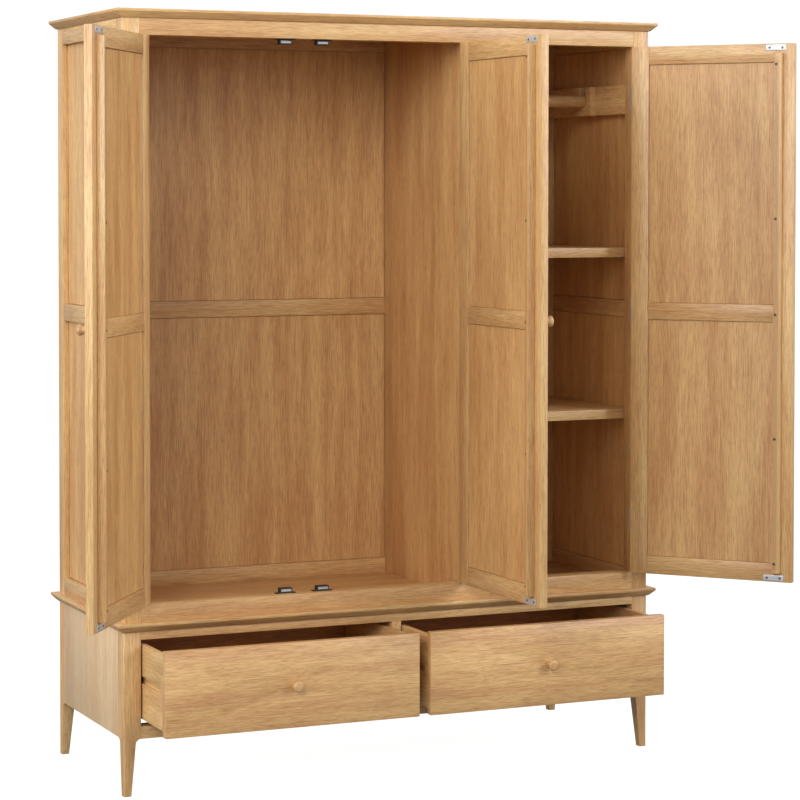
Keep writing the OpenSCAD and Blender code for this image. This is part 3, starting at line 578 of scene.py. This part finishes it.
def plain(name, node, grain, material, slot, ease=1.0, body="carcass"):
    """A board that fills the box of its CAD node."""
    low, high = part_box(node)
    return dress(joined(name, [board(low, high, grain, ease)]), body, material, slot, node)


plain("base_back_board", "base_back_panel", "X", oak_inside, "oak_inner")
plain("rail_over_drawers", "base_top_rail", "X", oak_solid, "oak_frame", 0.8)
plain("rail_under_drawers", "base_bottom_rail", "X", oak_solid, "oak_frame", 0.8)
plain("divider_between_drawers", "drawer_divider", "Z", oak_solid, "oak_frame", 0.8)
plain("board_between_drawers", "centre_board", "Y", oak_inside, "oak_inner", 0.8)
dress(eased_copy("drawer_runners", 0.8, "Y"), "carcass", oak_inside, "oak_inner", "drawer_runners")


def moulded_plank(name, node):
    """A plank with a square lip over a sloping underside: four mouldings, band wide, mitred round a
    wide middle board. foot is how far the underside runs in."""
    low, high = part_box(node)
    lip, foot, band = 0.007, 0.015, 0.062
    reach_x, reach_y = (high.x - low.x) / 2, (high.y - low.y) / 2
    parts = []
    for side in range(5):
        part = blank(low, high)
        cut_level(part, (0, 0, high.z - lip), (0, 0, 1))
        bpy.ops.object.mode_set(mode="EDIT")
        bpy.ops.mesh.select_mode(type="VERT")
        bpy.ops.mesh.select_all(action="DESELECT")
        bpy.ops.object.mode_set(mode="OBJECT")
        for v in part.data.vertices:
            v.select = abs(v.co.z - low.z) < SAME
        bpy.ops.object.mode_set(mode="EDIT")
        bpy.ops.transform.resize(value=((reach_x - foot) / reach_x, (reach_y - foot) / reach_y, 1),
                                 center_override=(0, 0, low.z))
        pick_edges(part, sharp=True)
        bpy.ops.mesh.bevel(offset=1.2 * MM, segments=3, affect="EDGES")
        bpy.ops.object.mode_set(mode="OBJECT")
        if side == 4:
            for sign in (-1, 1):
                cut_level(part, (sign * (reach_x - band), 0, 0), (sign, 0, 0), keep_lower=True)
                cut_level(part, (0, sign * (reach_y - band), 0), (0, sign, 0), keep_lower=True)
            lay_grain(part, "X")
        else:
            along, sign = ("X", "Y")[side % 2], (-1, 1)[side // 2]
            out = Vector((0, sign, 0)) if along == "X" else Vector((sign, 0, 0))
            reach = reach_y if along == "X" else reach_x
            cut_level(part, out * (reach - band), out, keep_upper=True)
            for turn in (-1, 1):
                aside = Vector((turn, 0, 0)) if along == "X" else Vector((0, turn, 0))
                corner = Vector(((aside + out).x * reach_x, (aside + out).y * reach_y, 0))
                cut_level(part, corner, (aside - out).normalized(), keep_lower=True)
            lay_grain(part, along)
        parts.append(part)
    return joined(name, parts)


dress(moulded_plank("base_top_plank", "base_top"), "carcass", oak_solid, "oak_plank", "base_top")

# ---------------------------------------------------------------- upper carcass

dress(moulded_plank("cornice_plank", "cornice"), "carcass", oak_solid, "oak_plank", "cornice")


def make_post(sx, sy):
    """A corner post of the upper carcass, its outer corner rounded."""
    x0, x1, y0, y1 = corner_span(sx, sy)
    return board((x0, y0, Z_UPPER), (x1, y1, Z_CORNICE), "Z", 0.8, (sx, sy), CORNER_R)


dress(joined("corner_posts", [make_post(sx, sy) for sx, sy in corner_signs()]),
      "carcass", oak_solid, "oak_frame", "upper_posts")
plain("rail_over_doors", "front_top_rail", "X", oak_solid, "oak_frame")
plain("rail_under_doors", "front_bottom_rail", "X", oak_solid, "oak_frame")
plain("fixed_stile", "centre_stile", "Z", oak_solid, "oak_frame")
dress(eased_copy("partition", 0.8, "Z"), "carcass", oak_panel, "oak_panel", "partition")
plain("compartment_floor", "floor_panel", "X", oak_panel, "oak_inner", 0.5)

SIDE_LEVELS = [(Z_UPPER, Z_OPEN), (MID_LOW, MID_HIGH), (Z_OPEN_TOP, Z_CORNICE)]
side_boards, side_fields = [], []
for sign, edge in ((1, LEFT), (-1, RIGHT)):
    xs = sorted((edge, edge + sign * SIDE_T))
    for z0, z1 in SIDE_LEVELS:
        side_boards.append(board((xs[0], FRONT + POST, z0), (xs[1], REAR - POST, z1), "Y", 1.2))
    xs = sorted((edge + sign * SIDE_FIELD_IN, edge + sign * (SIDE_FIELD_IN + FIELD_T)))
    for (_, z0), (z1, _) in zip(SIDE_LEVELS, SIDE_LEVELS[1:]):
        side_fields.append(field((xs[0], FRONT + POST - TONGUE, z0 - TONGUE),
                                 (xs[1], REAR - POST + TONGUE, z1 + TONGUE), "X"))
dress(joined("side_frame_rails", side_boards), "carcass", oak_solid, "oak_frame", "side_rails")
dress(joined("side_fields", side_fields), "carcass", oak_panel, "oak_panel", "side_panels")

back_boards = [board((LEFT + POST, Y_BACK, z0), (RIGHT - POST, Y_BACK + BACK_T, z1), "X", 1.2)
               for z0, z1 in (SIDE_LEVELS[0], SIDE_LEVELS[2])]
for x0, x1 in ((LEFT + POST, X_PART), (X_PART_RIGHT, RIGHT - POST)):
    back_boards.append(board((x0, Y_BACK, MID_LOW), (x1, Y_BACK + BACK_T, MID_HIGH), "X", 1.2))
back_boards.append(board((X_PART, Y_BACK, Z_OPEN),
                         (X_PART_RIGHT, Y_BACK + BACK_T, Z_OPEN_TOP), "Z", 1.2))
dress(joined("back_frame_rails", back_boards), "carcass", oak_solid, "oak_inner", "back_frame")
back_fields = []
field_y = Y_BACK + BACK_FIELD_IN
# Painted light and shade: the back boards of the wide compartment are made paler, the upper one palest,
# to lift the shade under the top, and those of the narrow compartment darkest, as painted shade where
# the doors keep the light out
for x0, x1, painted_light_tones in ((LEFT + POST, X_PART, (0.6, 1.0)), (X_PART_RIGHT, RIGHT - POST, (0.0, 0.0))):
    for z0, z1, tone in ((Z_OPEN, MID_LOW, painted_light_tones[0]), (MID_HIGH, Z_OPEN_TOP, painted_light_tones[1])):
        back_fields.append(field((x0 - TONGUE, field_y, z0 - TONGUE),
                                 (x1 + TONGUE, field_y + FIELD_T, z1 + TONGUE), "Y"))
        spots = back_fields[-1].data.attributes["tone"].data
        spots.foreach_set("value", [tone] * len(spots))
dress(joined("back_fields", back_fields), "carcass", oak_panel, "oak_inner", "back_panels")

# ---------------------------------------------------------------- fittings inside

shelf_low, shelf_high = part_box("shelves")
shelf_boards = [board((shelf_low.x, shelf_low.y, z),
                      (shelf_high.x, REAR - POST - SHELF_PLAY, z + SHELF_T), "X", 0.8)
                for z in (shelf_low.z, shelf_high.z - SHELF_T)]
dress(joined("shelf_boards", shelf_boards), "carcass", oak_solid, "oak_plank", "shelves")

rod_low, rod_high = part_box("hanging_rail")
rod_l = (rod_high.x - rod_low.x) / MM
rod = turned([(15.5, 0), (16.6, 0.5), (17, 1.6),
              (17, rod_l - 1.6), (16.6, rod_l - 0.5), (15.5, rod_l)], 64)
rod.rotation_euler = (0, math.pi / 2, 0)
rod.location = (rod_low.x, (rod_low.y + rod_high.y) / 2, (rod_low.z + rod_high.z) / 2)
settle(rod)
lay_grain(rod, "X")
dress(joined("clothes_rail", [rod]), "carcass", oak_solid, "oak_turned", "hanging_rail")
dress(eased_copy("rail_supports", 1.2, "Y"), "carcass", oak_solid, "oak_frame", "rail_supports")

dress(eased_copy("catch_housings", 0.5), "carcass", nylon_black, "black_plastic", "catch_housings")


def finish_node(node, material):
    """Gives a CAD node its better material."""
    NODES[node].data.materials.clear()
    NODES[node].data.materials.append(material)


for node in ("frame_hinge_leaves", "hinge_pins", "shelf_pins"):
    finish_node(node, steel_zinc)
finish_node("catch_screws", steel_screw)
finish_node("catch_magnets", steel_pole)

# ---------------------------------------------------------------- doors


def swing(piece, door):
    """Turns a piece made in the closed door's place to where the door stands open, about its pin."""
    pin_x, _, turn = DOORS[door]
    angle = math.radians(turn)
    pivot = Vector((pin_x, PIN_Y, 0))
    piece.rotation_euler = (0, 0, angle)
    cos, sin = math.cos(angle), math.sin(angle)
    piece.location = pivot - Vector((pivot.x * cos - pivot.y * sin, pivot.x * sin + pivot.y * cos, 0))
    settle(piece)
    return piece


# Outline of a turned knob, as radius and height in mm: its spigot, foot, neck and head
KNOB = [(4, -10), (4, 0), (9.3, 0), (9.6, 0.8), (9.5, 3), (9.5, 8), (9.9, 11), (10.8, 13.5), (12.2, 16),
        (13.5, 18.2), (13.95, 19.6), (14, 21), (13.6, 23), (12.6, 24.6), (10.6, 25.8), (7.6, 26.5),
        (4, 26.9), (0.4, 27)]


def make_knob(x, y, z):
    """A turned knob with a waisted neck and a softly domed head, pointing towards the front."""
    knob = turned(KNOB, 56)
    # Tone 0.0 makes the knob darker than any board: partly the darker end grain of a turned knob, partly
    # painted shade that takes back the light falling on it from all round
    lay_grain(knob, "Z", 0.0)
    knob.rotation_euler = (math.pi / 2, 0, 0)
    knob.location = (x, y, z)
    settle(knob)
    return knob


def make_door(door):
    """One framed door with its panels, batten, strikes and knob, swung to where it stands open."""
    pin_x, way, _ = DOORS[door]
    near = pin_x + way * HINGE_GAP / 2
    free = near + way * DOOR_W
    y0, y1 = FRONT, FRONT + DOOR_T

    def span(a, b):
        """Distances a and b from the free edge as a sorted pair of x."""
        return sorted((free - way * a, free - way * b))

    stiles = [board((x0, y0, DOOR_LOW), (x1, y1, DOOR_HIGH), "Z", 1.4)
              for x0, x1 in (span(0, FRAME_W), span(DOOR_W - FRAME_W, DOOR_W))]
    x0, x1 = span(FRAME_W, DOOR_W - FRAME_W)
    rails = [board((x0, y0, z0), (x1, y1, z1), "X", 1.4) for z0, z1 in (
        (DOOR_LOW, DOOR_LOW + FRAME_W), (MID_LOW, MID_HIGH), (DOOR_HIGH - FRAME_W, DOOR_HIGH))]
    dress(swing(joined(door + "_stiles_and_rails", stiles + rails), door), door, oak_solid, "oak_frame",
          door + "_frame")
    field_y = y1 - DOOR_FIELD_IN
    fields = [field((x0 - TONGUE, field_y, z0 - TONGUE),
                    (x1 + TONGUE, field_y + FIELD_T, z1 + TONGUE), "Y")
              for z0, z1 in ((DOOR_LOW + FRAME_W, MID_LOW), (MID_HIGH, DOOR_HIGH - FRAME_W))]
    dress(swing(joined(door + "_fields", fields), door), door, oak_panel, "oak_panel", door + "_panels")
    # Batten on the inner face, with counterbored screw holes
    x0, x1 = span(FRAME_W - BATTEN_W, FRAME_W)
    z0, z1 = DOOR_LOW + BATTEN_SHORT, DOOR_HIGH - BATTEN_SHORT
    batten = board((x0, y1, z0), (x1, y1 + BATTEN_T, z1), "Z", 1.2)
    hole_x = free - way * (FRAME_W - BATTEN_HOLE_IN)
    hole_y = y1 + BATTEN_T - BATTEN_HOLE_DEEP + DRILL_L / 2
    drilled(batten, [((hole_x, hole_y, z0 + share * (z1 - z0)), BATTEN_HOLE_R, DRILL_L)
                     for share in BATTEN_SHARES])
    dress(swing(joined(door + "_closing_batten", [batten]), door), door, oak_solid, "oak_frame",
          door + "_batten")
    # Strike plates with plain screw holes
    plates = []
    x0, x1 = span(STRIKE_NEAR, STRIKE_FAR)
    for z in (DOOR_LOW + STRIKE_UP, DOOR_HIGH - STRIKE_UP - STRIKE_H):
        plates.append(drilled(strike_plate(x0, x1, y1, z), [
            ((x, y1 + STRIKE_T / 2, z + STRIKE_H / 2), STRIKE_HOLE_R, STRIKE_HOLE_L)
            for x in (x0 + STRIKE_HOLE_IN, x1 - STRIKE_HOLE_IN)]))
    dress(swing(joined(door + "_strike_plates", plates), door), door, steel_zinc, "steel",
          door + "_strikes")
    knob = make_knob(free - way * KNOB_IN, FRONT, (MID_LOW + MID_HIGH) / 2)
    dress(swing(joined(door + "_turned_knob", [knob]), door), door, oak_solid, "oak_turned",
          door + "_knob", smooth=50)
    finish_node(door + "_hinge_leaves", steel_zinc)
    finish_node(door + "_screws", steel_screw)


def strike_plate(x0, x1, y, z):
    """A pressed plate with corners rounded to 2 mm."""
    plate = blank(Vector((x0, y, z)), Vector((x1, y + STRIKE_T, z + STRIKE_H)))
    bpy.ops.object.mode_set(mode="EDIT")
    pick_edges(plate, lambda a, b: abs(a.y - b.y) > STRIKE_T / 2)
    bpy.ops.mesh.bevel(offset=2 * MM, segments=5, affect="EDGES")
    pick_edges(plate, sharp=True)
    bpy.ops.mesh.bevel(offset=0.25 * MM, segments=2, affect="EDGES")
    bpy.ops.object.mode_set(mode="OBJECT")
    return plate


for door in DOORS:
    make_door(door)

# ---------------------------------------------------------------- drawers

for drawer in ("left_drawer", "right_drawer"):
    low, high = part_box(drawer + "_front")
    dress(eased_copy(drawer + "_front", 1.6, "X", 3), drawer, oak_front, "oak_drawer_front",
          drawer + "_front")
    dress(eased_copy(drawer + "_sides", 0.5, "Y"), drawer, oak_solid, "oak_inner",
          drawer + "_sides")
    plain(drawer + "_back_board", drawer + "_back", "X", oak_inside, "oak_inner", 0.8, drawer)
    plain(drawer + "_bottom_board", drawer + "_bottom", "X", oak_inside, "oak_inner", 0.3, drawer)
    knob = make_knob((low.x + high.x) / 2, low.y, (low.z + high.z) / 2)
    dress(joined(drawer + "_turned_knob", [knob]), drawer, oak_solid, "oak_turned",
          drawer + "_knob", smooth=50)

# ---------------------------------------------------------------- floor, light and camera

# A studio of white paper, just under the feet
STUDIO_WIDE, STUDIO_HIGH, UNDER_FEET = 60, 30, 0.0005
deselect()
bpy.ops.mesh.primitive_plane_add(size=STUDIO_WIDE, location=(0, 0, -UNDER_FEET))
studio = bpy.context.object
studio.name = "studio_floor_and_walls"
bpy.ops.object.mode_set(mode="EDIT")
bpy.ops.mesh.extrude_region_move(TRANSFORM_OT_translate={"value": (0, 0, STUDIO_HIGH)})
bpy.ops.mesh.select_all(action="SELECT")
bpy.ops.mesh.normals_make_consistent(inside=True)
bpy.ops.object.mode_set(mode="OBJECT")
paper, tree, shader = start("paper_white_lit")
shader.inputs["Base Color"].default_value = tint("#7c7c7c")
shader.inputs["Roughness"].default_value = 1.0
shader.inputs["Specular IOR Level"].default_value = 0.0
shader.inputs["Emission Color"].default_value = (1, 1, 1, 1)
shader.inputs["Emission Strength"].default_value = 0.97
studio.data.materials.append(paper)
# The paper is lit on its own, so it neither lights the oak nor shades it
studio.visible_diffuse = studio.visible_glossy = studio.visible_shadow = False

# Light from all round: SKY from above, BOUNCE from below, as strengths
SKY, BOUNCE = 0.69, 0.20
sky = bpy.data.worlds.new("studio_air")
bpy.context.scene.world = sky
sky.use_nodes = True
air = sky.node_tree
facing = put(air, "TexCoord").outputs["Generated"]
level = put(air, "SeparateXYZ", sockets={"Vector": facing}).outputs["Z"]
air.links.new(put(air, "MapRange", {"clamp": True}, {
    "Value": level, "From Min": -0.15, "From Max": 0.15, "To Min": BOUNCE, "To Max": SKY}).outputs[0],
    air.nodes["Background"].inputs["Strength"])
air.nodes["Background"].inputs["Color"].default_value = (1, 1, 1, 1)


# Soft panel lights: how wide they are, and how far they stand from the point that they aim at.
# Each has a name, a turn and a lift in degrees, and a power in watts.
PANEL, REACH = 3.2, 6.5
SOFTBOXES = [("left", -82, 14, 168), ("left_front", -42, 22, 205), ("right_front", 42, 22, 204)]


def softbox(name, turn, lift, power):
    """A soft panel light: turn is degrees round from straight in front, to the right, and lift is
    degrees up."""
    lamp = bpy.data.lights.new(name, "AREA")
    lamp.shape, lamp.size, lamp.size_y, lamp.energy = "RECTANGLE", PANEL, PANEL, power
    holder = bpy.data.objects.new(name, lamp)
    bpy.context.scene.collection.objects.link(holder)
    t, e = math.radians(turn), math.radians(lift)
    aim = Vector((0, 0, 1.0))
    holder.location = aim + REACH * Vector((
        math.sin(t) * math.cos(e), -math.cos(t) * math.cos(e), math.sin(e)))
    holder.rotation_euler = (aim - holder.location).to_track_quat("-Z", "Y").to_euler()


for name, turn, lift, power in SOFTBOXES:
    softbox("softbox_" + name, turn, lift, power)

# The focal length and the optical centre are in parts of a frame VIEW wide and high
VIEW = 800
FOCAL, CENTRE_X, CENTRE_Y = 2559.7, 350, 272
SENSOR = 36.0
TILT_DOWN, TURN_RIGHT = 1.876, 23.31
camera = bpy.data.objects.new("camera", bpy.data.cameras.new("camera"))
bpy.context.scene.collection.objects.link(camera)
camera.location = (-2.7592, -6.3708, 1.5317)
camera.rotation_euler = (math.pi / 2 - math.radians(TILT_DOWN), 0, -math.radians(TURN_RIGHT))
camera.data.sensor_width = SENSOR
camera.data.lens = FOCAL / VIEW * SENSOR
camera.data.shift_x = (VIEW / 2 - CENTRE_X) / VIEW
camera.data.shift_y = -(VIEW / 2 - CENTRE_Y) / VIEW
bpy.context.scene.camera = camera

bpy.context.scene.view_settings.view_transform = "Standard"
